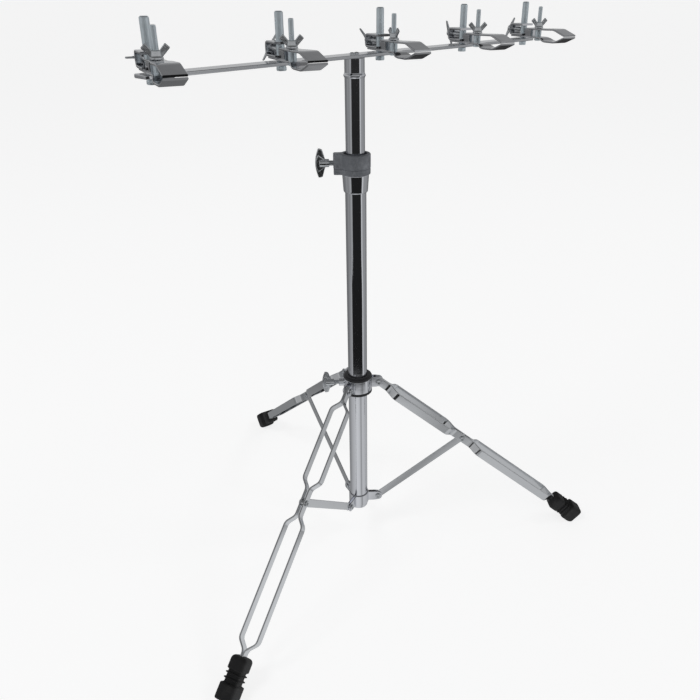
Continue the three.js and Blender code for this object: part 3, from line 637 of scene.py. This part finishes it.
def ears(start, half_height, inner_face, thickness, end_radius, pivot_height):
    """Two plates that stand either side of a leg, as tall as the band and rounded about the rivet."""
    a = np.linspace(-np.pi / 2.6, np.pi / 2.6, 17)
    nose = np.stack([pivot_radius + end_radius * np.cos(a), end_radius * 1.12 * np.sin(a)], -1)
    outline = np.vstack([[[start, -half_height], [pivot_radius - end_radius * 0.75, -half_height * 0.99]], nose,
                         [[pivot_radius - end_radius * 0.75, half_height * 0.99], [start, half_height]]])
    made = []
    for side in (1, -1):
        middle_y = side * (inner_face + thickness / 2)
        form = on_side(plate(outline, -thickness / 2, thickness / 2, 0.45, 3))
        made.append(moved(form, shift_by(0, middle_y, pivot_height)))
    return [moved(form, turn("Z", heading)) for heading in leg_headings for form in made]


def plain_band(inner, outer, low, high, edge):
    """A round band with its outer edges rolled."""
    return pipe(np.vstack([[[inner, low]], rolled(low, high, (outer, edge, edge)), [[inner, high]]]), 72)


hub_low, hub_high = hub_pivot - 12, hub_pivot + 9
boss_start, boss_end, boss_radius = 20.1, 29.0, 6.0
ear_height, ear_radius = 8.5, 6.9
boss = turned(np.vstack([[[0, boss_start]], rolled(boss_start, boss_end, (boss_radius, 0.1, 0.9)),
                         [[0, boss_end]]]), 40)
make_piece("hub_ring", "hub_band", [
    plain_band(hub_inner, hub_outer, hub_low, hub_high, 0.7),
    *ears(hub_outer - 0.9, ear_height, 2.95, 1.8, ear_radius, hub_pivot),
    moved(boss, turn("Z", screw_heading) @ shift_by(0, 0, hub_pivot) @ turn("Y", 90)),
], on_column, tube_chrome)
collar_inner, collar_outer, collar_half = lower_radius + 0.3, lower_radius + 1.9, 9.5
make_piece("brace_ring", "brace_collar", [
    plain_band(collar_inner, collar_outer, collar_pivot - collar_half, collar_pivot + collar_half, 0.6),
    *ears(collar_outer - 0.8, ear_height, 1.55, 1.6, ear_radius, collar_pivot),
], on_column, tube_chrome)

flange_profile = [
    [14.55, hub_low - 4.5], [20.8, hub_low - 4.5], [21.9, hub_low - 3.6], [21.9, hub_low - 0.3],
    [19.3, hub_low - 0.3], [19.3, hub_high + 0.3], [21.7, hub_high + 0.3], [21.9, hub_high + 0.6],
    [21.9, hub_high + 1.9], [21.4, hub_high + 3.0], [20.2, hub_high + 3.9], [18.6, hub_high + 4.4],
    [16.4, hub_high + 4.5], [15.1, hub_high + 4.3], [14.55, hub_high + 3.8],
]
make_piece("hub_flanges", "hub_bushing", [pipe(flange_profile, 72)], on_column, bushing_plastic)
print("hub from", hub_low, "to", hub_high, "mm")

# %% [markdown]
# ## Legs
# Each leg is two strips that close on each other at the hub, bow apart, close again on the brace at the
# knee, bow apart once more and meet inside the rubber foot. One path with eight soft bends gives a strip,
# and the same path on the other side of the leg gives its twin. The brace is a plain flat bar.

# %% Strips, braces and rivets
knee_height = (hub_pivot + collar_pivot) / 2
leg_slope = np.degrees(np.arctan2(hub_pivot - knee_height, knee_radius - pivot_radius))
knee_along = float(np.hypot(knee_radius - pivot_radius, hub_pivot - knee_height))
foot_length, foot_width, neck_half, deep_half, sunk, sole_thickness = 56.0, 26.0, 12.5, 15.0, 4.5, 8.0
down, out = np.sin(np.radians(leg_slope)), np.cos(np.radians(leg_slope))
foot_end = (hub_pivot - deep_half * out + sunk) / down
foot_start = foot_end - foot_length
strip_width, strip_thick, strip_spread = 13.0, 2.5, 13.5
strip_end = (hub_pivot - sole_thickness - strip_width / 2 * out) / down
bend, run = 21.0, 12.0
gathered = foot_start - 8
closed, knee_gap = 0.15 + strip_thick / 2, 1.55 + strip_thick / 2
strip_path = soft_path([
    [-strip_width / 2, closed], [bend, closed], [bend + run, strip_spread],
    [knee_along - bend - run, strip_spread], [knee_along - bend, knee_gap],
    [knee_along + bend, knee_gap], [knee_along + bend + run, strip_spread],
    [gathered - run, strip_spread], [gathered, closed], [strip_end - 0.3, closed],
], 4.5)


def eyelet(outer_face, head=4.6, rise=1.9, sides=36):
    """A rolled rivet along Y: a rounded rim, and a shallow cup in the middle of each head."""
    a = np.linspace(0, np.pi, 9)
    rim = (head - 1.9) / 2
    roll = np.stack([head - rim + rim * np.cos(a), outer_face + 0.3 + rise * np.sin(a) ** 0.7], -1)
    half = np.vstack([[[2.4, 0]], [[2.4, outer_face + 0.3], [head, outer_face + 0.3]], roll,
                      [[1.9, outer_face + 0.9], [0, outer_face + 0.7]]])
    profile = np.vstack([(half * [1, -1])[::-1], half[1:]])
    return moved(turned(profile, sides), turn("X", 90))


def onto_leg(form):
    """Lays a form made along X down the slope of a leg, from the hub's pivot."""
    return moved(form, shift_by(pivot_radius, 0, hub_pivot) @ turn("Y", leg_slope))


rivets = [("top", 4.75, pivot_radius, hub_pivot), ("knee", 4.05, knee_radius, knee_height),
          ("brace", 3.15, pivot_radius, collar_pivot)]
for number, heading in enumerate(leg_headings, 1):
    on_leg = on_column @ turn("Z", heading)
    for letter, side in (("a", 1), ("b", -1)):
        form = bent_strip(strip_path * [1, side], strip_width / 2, strip_thick, 0.9, strip_width * 0.45, True)
        make_piece(f"leg_{number}_flat_{letter}", f"leg_{number}_strip_{letter}", [onto_leg(form)],
                   on_leg, strip_chrome)
    flat = bent_strip(np.array([[-6.0, 0], [knee_along + 6.0, 0]]), 6.0, 2.5, 0.8, 5.9, True)
    stands = shift_by(pivot_radius, 0, collar_pivot) @ turn("Y", -leg_slope)
    make_piece(f"leg_{number}_stay", f"leg_{number}_brace", [moved(flat, stands)], on_leg, strip_chrome)
    for pivot, face, x, z in rivets:
        make_piece(f"leg_{number}_{pivot}_eyelet", f"leg_{number}_{pivot}_rivet",
                   [moved(eyelet(face), shift_by(x, 0, z))], on_leg, nut_zinc)
print("leg slope", round(leg_slope, 1), "degrees, knee", round(knee_along, 1), "mm down the leg")

# %% [markdown]
# ## Feet
# A moulded rubber boot: a neck that grips the two strips, two thin ribs, and a square-ended block whose
# lower corner is cut flat by the floor. Each slice across the leg is a rounded box, given by
# |y/a|^n + |z/b|^n = 1. The slices are then laid down: what would go under the floor is pressed up to it.

# %% Feet
neck_end, block_start, rib_places, groove = 18.0, 35.0, (22.5, 29.0), 2.4


def rounding(depth, rise):
    """How much an end's slices shrink: a quarter ellipse that is gone when the depth reaches 1."""
    return rise * (1 - np.sqrt(1 - (1 - np.clip(depth, 0, 1)) ** 2))


def soft_step(distance, sharpness):
    """A logistic step from 0 to 1: 1 / (1 + exp(-k d))."""
    return 1 / (1 + np.exp(-distance * sharpness))


def foot_form():
    """Slices along the leg that dip between the ribs, step out at the block and round off at the ends."""
    rows = np.concatenate([[0, 0.4, 0.9, 1.6, 2.5], np.linspace(3.5, foot_length - 2.5, 120),
                           foot_length - np.array([1.6, 1.1, 0.7, 0.3, 0.0])])
    along = rows[:, None]
    t = around(88)[None, :]
    power = 6.0
    size = (np.abs(np.cos(t)) ** power + np.abs(np.sin(t)) ** power) ** (-1 / power)
    ends = rounding(along / 6, 4.8) + rounding((foot_length - along) / 2.5, 2.0)
    step = soft_step(along - block_start, 3.0)
    trough = soft_step(along - neck_end, 4.0) - step
    ribs = sum(np.exp(-(along - centre) ** 4) for centre in rib_places)
    dip = groove * np.clip(trough - ribs, 0, 1)
    half_z = neck_half + (deep_half - neck_half) * step - ends - dip
    half_y = foot_width / 2 - 0.8 * (1 - step) - ends - dip * 0.9
    y, z = half_y * size * np.cos(t), half_z * size * np.sin(t)
    s = foot_start + along
    return pivot_radius + s * out + z * down, y, hub_pivot - s * down + z * out


x, y, up = foot_form()
boot_grid = np.stack([x, y, np.maximum(up, 0.0)], -1)
caps = [np.broadcast_to(ring.mean(axis=1, keepdims=True), ring.shape) for ring in (boot_grid[:1], boot_grid[-1:])]
boot = shell(np.concatenate([caps[0], boot_grid, caps[1]]))
for number, heading in enumerate(leg_headings, 1):
    make_piece(f"leg_{number}_boot", f"leg_{number}_foot", [boot], on_column @ turn("Z", heading),
               foot_rubber)
print("boot height", round(float(boot_grid[..., 2].max()), 1), "mm")

# %% [markdown]
# ## The bar
# A flat steel bar with rounded corners, plated and a little dull. Its long edges are rolled, which is
# where the bright line along the near side comes from. Two screws hold it to the mast.

# %% Bar and its screws
bar_low, bar_high = [np.array(corner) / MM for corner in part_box("top_bar")]
bar_top, bar_bottom = bar_high[2], bar_low[2]
corners = [[x, y] for x, y in zip((bar_low[0], bar_high[0], bar_high[0], bar_low[0]),
                                  (bar_low[1], bar_low[1], bar_high[1], bar_high[1]))]
edges = rounded_corners(corners, 5.0, 8)
make_piece("flat_bar", "top_bar", [plate(edges, bar_bottom, bar_top, 1.0, 4)], np.eye(4), bar_chrome)

shank, head_radius = 2.0, 3.2
dome = np.linspace(0, np.pi / 2, 8)
for number in (1, 2):
    node = f"bar_screw_{number}"
    x, y, _ = middle(node)
    low = heights(node)[0]
    head = np.stack([head_radius * np.cos(dome) ** 0.7, bar_top + 0.7 + 1.5 * np.sin(dome)], -1)
    profile = np.vstack([[[0, low], [shank - 0.3, low], [shank, low + 0.4]],
                         [[shank, bar_top + 0.3], [head_radius, bar_top + 0.3]], head[:-1],
                         [[1.6, bar_top + 2.1], [1.3, bar_top + 1.2], [0, bar_top + 1.0]]])
    make_piece(f"bar_fixing_{number}", node, [turned(profile, 36)], shift_by(x, y, 0), nut_zinc)

frame["nodes"]["mast_plug"].data.materials.clear()
frame["nodes"]["mast_plug"].data.materials.append(post_zinc)
print("bar", round(float(bar_high[0] - bar_low[0])), "mm long")

# %% [markdown]
# ## Posts
# Each post is a turned zinc rod with a chamfered top, held from under the bar by a hexagon bolt. The
# hexagon is found by one formula: a flat's distance over the cosine of the angle to it, cut by a cone.

# %% Posts and bolts
post_radius, post_height = 4.75, 51.0
clamp_heading = -109.0
posts = [middle(f"post_{number}")[:2] for number in range(1, 6)]
on_clamp = [shift_by(x, y, bar_top) @ turn("Z", clamp_heading) for x, y in posts]
post_profile = np.vstack([
    [[0, 0.3], [post_radius - 0.3, 0.3], [post_radius, 0.6], [post_radius, post_height - 1.5]],
    [[post_radius - 0.15, post_height - 1.15], [post_radius - 1.1, post_height - 0.2]],
    [[post_radius - 1.5, post_height], [0, post_height]],
])
stud_radius, stud_low, washer_low, washer_radius, hexagon_across, hexagon_low = 3, -5.3, -5.85, 5.6, 10, -10.3
washer = turned(np.vstack([[[0, washer_low]], rolled(washer_low, stud_low, (washer_radius, 0.2, 0.1)),
                           [[0, stud_low]]]), 48)
stud = turned([[0, stud_low], [stud_radius, stud_low], [stud_radius, 0.4], [0, 0.4]], 24)
for number, place in enumerate(on_clamp, 1):
    bolt = hexagon(hexagon_across, hexagon_low, washer_low + 0.05, 13.0 * number)
    make_piece(f"post_rod_{number}", f"post_{number}", [turned(post_profile, 48), stud, bolt, washer],
               place, post_zinc)
print("posts", len(posts))

# %% [markdown]
# ## Clamps
# A clamp is a C-shaped bracket round the post, welded to a long lower jaw. A bolt stands up through both
# jaws, a block keeps them apart near the post, and a wing nut pulls the upper jaw down. Both jaws are one
# strip that is narrow over the bolt and flares to the tip. The lower one has a belly and the upper one
# rises to a ridge and drops at its tip, so their lips meet.

# %% Brackets and jaws
jaw_reach, neck_half_width, tip_half_width, jaw_thick = 106.0, 8.0, 11.0, 2.2
jaw_gap_top = 13.0
lower_flat, upper_flat = 1.5 + jaw_thick / 2, jaw_gap_top + jaw_thick / 2


def jaw_half_width(x):
    """Half the neck's width up to the flare, half the tip's after it, with a smooth step between."""
    t = np.clip((x - 46) / 14, 0, 1)
    return neck_half_width + (tip_half_width - neck_half_width) * (3 * t ** 2 - 2 * t ** 3)


lower_path = soft_path([[-20, lower_flat], [50, lower_flat], [62, lower_flat - 4.4], [86, lower_flat - 4.4],
                        [jaw_reach, lower_flat + 3.1]], 4.5)
upper_path = soft_path([[15, upper_flat], [44, upper_flat], [82, upper_flat + 1.2],
                        [jaw_reach, upper_flat - 5.9]], 3.5)
bracket_end, bracket_back, bracket_low, bracket_high = 9, -22.1, 5.2, 19.2
bracket_path = soft_path([[bracket_end, bracket_low], [bracket_back, bracket_low],
                          [bracket_back, bracket_high], [bracket_end, bracket_high]], 4.5, 8)
block_edges = rounded_corners([[10, -6.5], [26, -6.5], [26, 6.5], [10, 6.5]], 1.6, 4)
for number, place in enumerate(on_clamp, 1):
    frame_node, jaw_node = f"clamp_frame_{number}", f"upper_jaw_{number}"
    make_piece(f"lower_jaw_{number}", frame_node, [bent_strip(lower_path, jaw_half_width, jaw_thick, 0.7)],
               place, jaw_chrome)
    bracket = bent_strip(bracket_path, 10.0, 2.8, 0.9)
    make_piece(f"bracket_{number}", frame_node, [bracket], place, jaw_chrome, False)
    make_piece(f"spacer_{number}", frame_node, [plate(block_edges, lower_flat, jaw_gap_top - 0.3, 0.6)],
               place, jaw_chrome, False)
    make_piece(f"upper_jaw_plate_{number}", jaw_node, [bent_strip(upper_path, jaw_half_width, jaw_thick, 0.7)],
               place, jaw_chrome)
print("jaws", 2 * len(posts))

# %% [markdown]
# ## Jaw bolts and wing nuts
# The bolt has a real thread, since its crests are what one sees above the nut. The wing nut is a flanged
# boss with two flat blades that lean outwards like a V.

# %% Bolts, nuts and small screws
bolt_distance, bolt_top = 36.0, 45.0
nut_seat = jaw_gap_top + jaw_thick + 0.3
nut_angles = [75, 60, 0, 70, 80]
small_screw_angles = [0, 57, 130, 108, 62]


def wing_nut():
    """A flange, a boss that narrows upwards, and two blades whose outer ends are rounded."""
    body = pipe(np.vstack([
        [[3.3, 0]], rolled(0, 2.4, (6.4, 0.4, 0.9)),
        [[5.0, 2.9], [4.9, 3.6], [4.5, 7.2], [4.2, 7.8], [3.9, 8.0], [3.3, 8.0]],
    ]), 44)
    blade = rounded_corners([[0.8, 5.0], [5.2, 1.6], [13.5, 10.2], [9.0, 14.3]], [0.8, 1.0, 1.1, 1.1], 6)
    one = on_side(plate(blade, -1.2, 1.2, 0.85, 4))
    return [body, one, moved(one, turn("Z", 180))]


end = np.linspace(0, np.pi / 2, 5)
bolt_radius, bolt_head_radius, head_rolling, collar_radius, collar_top = 3.0, 5.2, 1.8, 4.6, jaw_gap_top - 0.3
bolt_head = turned(np.vstack([
    [[0, -2.1], [3.2, -2.1]],
    np.stack([bolt_head_radius - head_rolling + head_rolling * np.sin(end), -0.3 - head_rolling * np.cos(end)], -1),
    [[bolt_head_radius, 1.4], [0, 1.4]],
]), 40)
collar = turned(np.vstack([[[0, lower_flat]], rolled(lower_flat, collar_top, (collar_radius, 0.1, 0.4)),
                           [[0, collar_top]]]), 40)
rod = threaded(bolt_radius, 0.22, 1.0, jaw_gap_top - 0.5, bolt_top - 0.5, 24)
point = turned([[0, bolt_top - 1.2], [bolt_radius - 0.4, bolt_top - 1.2], [bolt_radius - 0.5, bolt_top - 0.4],
                [bolt_radius - 1.0, bolt_top], [0, bolt_top]], 24)
tip_gap, small_screw_height = 0.55, 12.2
small_screw_start = -post_radius - tip_gap
small = wing_screw(stem=3.0, boss=4.6, boss_length=4, span=34, depth=6, thickness=2.6,
                   length=31.5 - post_radius - tip_gap)
for number, place in enumerate(on_clamp, 1):
    at_bolt = place @ shift_by(bolt_distance, 0, 0)
    make_piece(f"jaw_bolt_{number}", f"clamp_frame_{number}", [bolt_head, collar, rod, point], at_bolt, post_zinc,
               False)
    make_piece(f"wing_nut_cast_{number}", f"wing_nut_{number}", wing_nut(),
               at_bolt @ shift_by(0, 0, nut_seat) @ turn("Z", nut_angles[number - 1]), nut_zinc)
    spin = turn("X", small_screw_angles[number - 1] - 90) @ turn("Z", 180)
    make_piece(f"small_wing_screw_{number}", f"post_screw_{number}", small,
               place @ shift_by(small_screw_start, 0, small_screw_height) @ spin, nut_zinc)
print("pieces", len(pieces_made), "triangles", sum(len(p.data.polygons) * 2 for p in pieces_made))

# %% [markdown]
# ## Studio
# A pale floor and a pale sky are what the camera sees. What chrome shows is the room it mirrors, and a
# plain white room makes it look like plaster. So the metal is given a second room of its own: a mirror
# floor that is pale near the stand and darkens to one side, and a grey ceiling with a pale horizon. Only
# reflected rays see the mirror floor, and only the camera sees the paper, so each can be as it should.

# %% Paper, mirror floor, sky and lights
def stage_sheet(name, points, faces, material):
    """A sheet of the room, in millimetres, that is no part of the stand."""
    mesh = bpy.data.meshes.new(name)
    mesh.from_pydata((np.array(points, float) * MM).tolist(), [], faces)
    mesh.materials.append(material)
    sheet = bpy.data.objects.new(name, mesh)
    bpy.context.scene.collection.objects.link(sheet)
    return sheet


paper = Finish("floor_paper", Metallic=0.0, Roughness=0.9, Base_Color=(0.42, 0.42, 0.42, 1),
               Emission_Color=(1, 1, 1, 1), Emission_Strength=0.79)
wide = 120000
floor = stage_sheet("studio_floor", [[-wide, -wide, 0], [wide, -wide, 0], [wide, wide, 0], [-wide, wide, 0]],
                    [[0, 1, 2, 3]], paper.material)
floor.visible_glossy = False


def mirror_brightness(radius, heading):
    """Pale paper near the column; beyond it a value by heading, with one dark band that narrows farther out."""
    t = np.clip((radius - 1150) / 150, 0, 1)
    dark_from, dark_to = -193 + 16 * t, -69 - 7 * t
    turned_on = np.where(heading > 140, heading - 360, heading)
    knots = np.array([[-30, 0.30], [-8, 0.24], [6, 0.22], [16, 0.04], [32, 0.04], [42, 0.34], [62, 0.16],
                      [98, 0.16], [122, 0.20], [140, 0.30]])
    far = np.interp(turned_on, knots[:, 0], knots[:, 1])
    before, after = dark_from - turned_on, turned_on - dark_to
    far = np.where(turned_on < dark_from, 0.40 - 0.006 * np.clip(before, 0, 27), far)
    line = 0.62 - 0.32 * np.clip((after - 9) / 8, 0, 1)
    far = np.where((after >= 0) & (turned_on < -30), line, far)
    inside = np.clip(np.minimum(-before, -after) / 5, 0, 1)
    in_dark = (turned_on >= dark_from) & (turned_on <= dark_to)
    far = np.where(in_dark, 0.30 * (1 - inside) + 0.006 * inside, far)
    paper_knots = np.array([[-180, 0.52], [-150, 0.66], [-120, 0.60], [-96, 0.30], [-84, 0.56], [-40, 0.50],
                            [10, 0.36], [60, 0.26], [110, 0.26], [150, 0.44], [180, 0.52]])
    near = np.interp(heading, paper_knots[:, 0], paper_knots[:, 1])
    edge = np.clip((radius - 430) / 150, 0, 1)
    blend = 3 * edge ** 2 - 2 * edge ** 3
    return near * (1 - blend) + far * blend


rings = np.concatenate([[0, 120, 250, 360], np.linspace(420, 600, 19), [900, 1100], np.linspace(1150, 1300, 6),
                        [1600, 3000, 12000, 90000]])
spokes = np.radians(np.arange(-180, 180, 1.0))
polar_r, polar_t = np.meshgrid(rings, spokes, indexing="ij")
mirror_points = np.stack([column_x + polar_r * np.cos(polar_t), column_y + polar_r * np.sin(polar_t),
                          np.full(polar_r.shape, -3.0)], -1).reshape(-1, 3)
glow = Finish("mirror_floor", Metallic=0.0, Roughness=1.0, Base_Color=(0, 0, 0, 1), Emission_Strength=1.0)
glow.link(Emission_Color=glow.node("ShaderNodeAttribute", {"attribute_name": "glow"}, {}, "Color"))
mirror = stage_sheet("mirror_floor", mirror_points, strips(len(rings), len(spokes)).tolist(), glow.material)
shade = mirror_brightness(polar_r, np.degrees(polar_t)).reshape(-1)
paint = mirror.data.color_attributes.new("glow", "FLOAT_COLOR", "POINT")
cool_grey = np.stack([shade * 0.97, shade * 0.985, shade, np.ones_like(shade)], -1)
paint.data.foreach_set("color", cool_grey.ravel())
mirror.visible_camera = mirror.visible_diffuse = mirror.visible_shadow = False

dome_t, dome_p = np.meshgrid(np.linspace(-0.02, np.pi / 2, 12), around(48), indexing="ij")
dome_radius = 110000
dome_points = dome_radius * np.stack([np.cos(dome_t) * np.cos(dome_p), np.cos(dome_t) * np.sin(dome_p),
                                      np.sin(dome_t)], -1)
backdrop = Finish("pale_backdrop", Metallic=0.0, Roughness=1.0, Base_Color=(0, 0, 0, 1),
                  Emission_Color=(1, 1, 1, 1), Emission_Strength=0.96)
dome = stage_sheet("studio_backdrop", dome_points.reshape(-1, 3), strips(12, 48).tolist(), backdrop.material)
dome.visible_glossy = dome.visible_diffuse = dome.visible_shadow = False

world = bpy.data.worlds.new("studio_sky")
world.use_nodes = True
sky_nodes, sky_links = world.node_tree.nodes, world.node_tree.links
sky_place, sky_parts = sky_nodes.new("ShaderNodeTexCoord"), sky_nodes.new("ShaderNodeSeparateXYZ")
sky_ramp = sky_nodes.new("ShaderNodeValToRGB")
for stop, (height, value) in enumerate([(0.0, 0.55), (0.16, 0.46), (0.45, 0.36), (0.7, 0.16), (1.0, 0.12)]):
    element = sky_ramp.color_ramp.elements[stop] if stop < 2 else sky_ramp.color_ramp.elements.new(height)
    element.position, element.color = height, (value * 0.98, value * 0.99, value, 1)
sky_links.new(sky_place.outputs["Generated"], sky_parts.inputs[0])
sky_links.new(sky_parts.outputs["Z"], sky_ramp.inputs["Fac"])
sky_links.new(sky_ramp.outputs["Color"], sky_nodes["Background"].inputs["Color"])
sky_nodes["Background"].inputs["Strength"].default_value = 1.0
bpy.context.scene.world = world
bpy.context.scene.view_settings.view_transform = "Standard"


def soft_light(name, place, size, power):
    """A round area light that looks at the middle of the column and isn't mirrored in the chrome."""
    data = bpy.data.lights.new(name, "AREA")
    data.shape, data.size, data.energy = "DISK", size, power
    light = bpy.data.objects.new(name, data)
    light.location = place
    toward = Vector((0, 0, 0.35)) - light.location
    light.visible_glossy = False
    light.rotation_euler = toward.to_track_quat("-Z", "Y").to_euler()
    bpy.context.scene.collection.objects.link(light)


soft_light("key_light", (-2.4, 0.6, 3.6), 1.2, 22)
soft_light("fill_light", (2.0, -1.8, 3.4), 1.0, 12)
print("studio ready")
